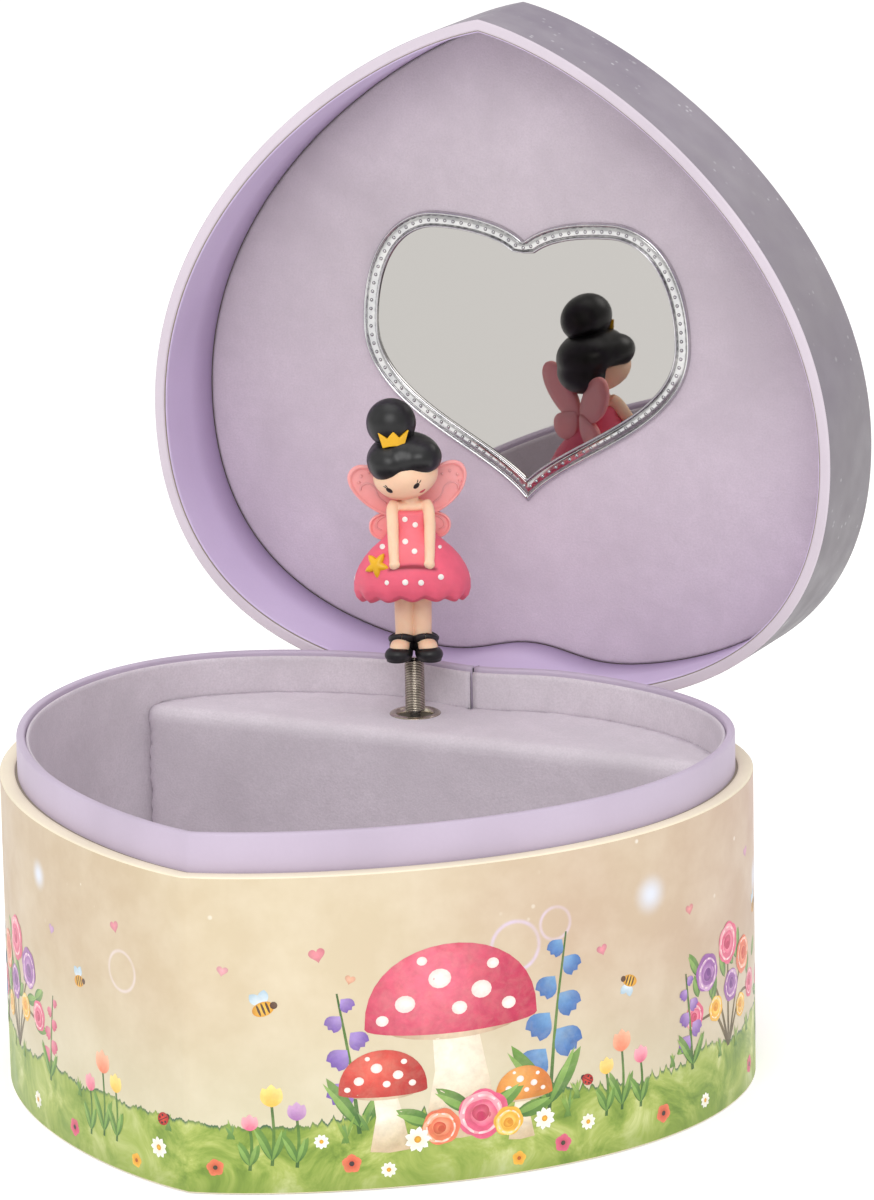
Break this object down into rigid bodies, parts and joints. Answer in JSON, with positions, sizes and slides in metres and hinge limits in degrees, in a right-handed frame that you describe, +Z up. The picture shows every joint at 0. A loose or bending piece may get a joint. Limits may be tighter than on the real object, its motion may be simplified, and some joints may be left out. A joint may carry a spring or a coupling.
{
  "type": "ballerina jewellery box",
  "caption": "Heart-shaped musical jewellery box with hinged mirror lid, velour-lined well, and a wind-up movement that turns a small dancing figure on a spring.",
  "frame": {"origin": "on the resting face at the underside, on the heart's centre plane, 81.5 mm behind the front point", "axes": "+Z up, +X along the lid hinge to the right seen from the point, -Y towards the heart's point"},
  "size_m": [0.16, 0.1729, 0.2146],
  "materials": {
    "greyboard": "matt",
    "print_paper": "satin",
    "lilac_paper": "satin",
    "lid_paper": "satin",
    "velour": "napped",
    "hinge_cloth": "matt",
    "nickel": "polished",
    "steel": "satin",
    "zinc": "cast",
    "brass": "polished",
    "mirror_film": "polished",
    "silver_plastic": "metallised",
    "skin": "painted",
    "dress_pink": "painted",
    "wing_pink": "painted",
    "hair_black": "painted",
    "gold_paint": "painted"
  },
  "bodies": {
    "base": {"underside_sheet": "lid_paper", "base_floor": "greyboard", "base_wall": "greyboard", "printed_wrap": "print_paper", "neck_collar": "lilac_paper", "well_lining": "velour", "well_floor_pad": "velour", "partition_wall": "greyboard", "deck_board": "greyboard", "deck_velour": "velour", "spindle_eyelet": "nickel", "key_grommet": "nickel", "hinge_cloth_base": "hinge_cloth", "movement_pad": "greyboard", "bedplate": "zinc", "mounting_screws": "steel", "spring_housing": "zinc", "mainspring": "steel", "comb": "steel", "comb_screws": "steel", "cylinder_bracket": "zinc", "governor_frame": "zinc", "spindle_bracket": "zinc"},
    "winding": {"winding_key": "nickel", "winding_arbor": "steel", "main_wheel": "brass"},
    "cylinder": {"pin_cylinder": "brass", "cylinder_arbor": "steel", "cylinder_gears": "brass"},
    "governor": {"governor_wheel": "brass"},
    "fan": {"governor_fan": "steel"},
    "spindle_body": {"spindle": "steel", "spindle_gear": "brass"},
    "stop": {"stop_wire": "steel"},
    "spring_body": {"figure_spring": "nickel"},
    "figure": {"figure_body": "skin", "figure_dress": "dress_pink", "figure_shoes": "hair_black", "figure_hair": "hair_black", "figure_crown": "gold_paint", "figure_wings": "wing_pink", "figure_star": "gold_paint"},
    "lid": {"lid_wall": "greyboard", "lid_top": "greyboard", "lid_wrap": "lid_paper", "lid_inner_paper": "lilac_paper", "lid_pad": "velour", "mirror_plate": "mirror_film", "mirror_frame": "silver_plastic", "hinge_cloth_lid": "hinge_cloth", "hinge_stay": "lilac_paper"}
  },
  "joints": [
    {"name": "lid_hinge", "type": "hinge", "parent": "base", "child": "lid", "pos_m": [0, 0.0666, 0.0665], "axis": [1, 0, 0], "range_deg": [0, 90], "deforming": ["hinge_stay"]},
    {"name": "figure_fold", "type": "hinge", "parent": "base", "child": "spring_body", "pos_m": [-0.01, 0.05, 0.073], "axis": [1, 0, 0], "range_deg": [0, 90], "deforming": ["figure_spring"]},
    {"name": "figure_spin", "type": "hinge", "parent": "spring_body", "child": "figure", "pos_m": [-0.01, 0.05, 0.073], "axis": [0, 0, 1], "continuous": true},
    {"name": "spindle_spin", "type": "hinge", "parent": "base", "child": "spindle_body", "pos_m": [-0.01, 0.05, 0.06], "axis": [0, 0, 1], "continuous": true},
    {"name": "cylinder_turn", "type": "hinge", "parent": "base", "child": "cylinder", "pos_m": [-0.00083, 0.046, 0.048], "axis": [0, 0, 1], "continuous": true},
    {"name": "winding_turn", "type": "hinge", "parent": "base", "child": "winding", "pos_m": [-0.00083, 0.05, 0.022], "axis": [0, 1, 0], "continuous": true},
    {"name": "governor_turn", "type": "hinge", "parent": "base", "child": "governor", "pos_m": [-0.01183, 0.046, 0.04], "axis": [0, 0, 1], "continuous": true},
    {"name": "fan_turn", "type": "hinge", "parent": "base", "child": "fan", "pos_m": [-0.01623, 0.046, 0.0417], "axis": [0, 1, 0], "continuous": true},
    {"name": "stop_wire_tilt", "type": "hinge", "parent": "base", "child": "stop", "pos_m": [0, 0.0556, 0.05], "axis": [1, 0, 0], "range_deg": [0, 3]}
  ],
  "couplings": [
    {"joint": "figure_fold", "follows": "lid_hinge", "ratio": 1},
    {"joint": "stop_wire_tilt", "follows": "lid_hinge", "ratio": 0.033333},
    {"joint": "winding_turn", "follows": "cylinder_turn", "ratio": -0.2},
    {"joint": "spindle_spin", "follows": "cylinder_turn", "ratio": -1.5},
    {"joint": "figure_spin", "follows": "cylinder_turn", "ratio": -1.5},
    {"joint": "governor_turn", "follows": "cylinder_turn", "ratio": -2.1429},
    {"joint": "fan_turn", "follows": "cylinder_turn", "ratio": -25.714}
  ]
}
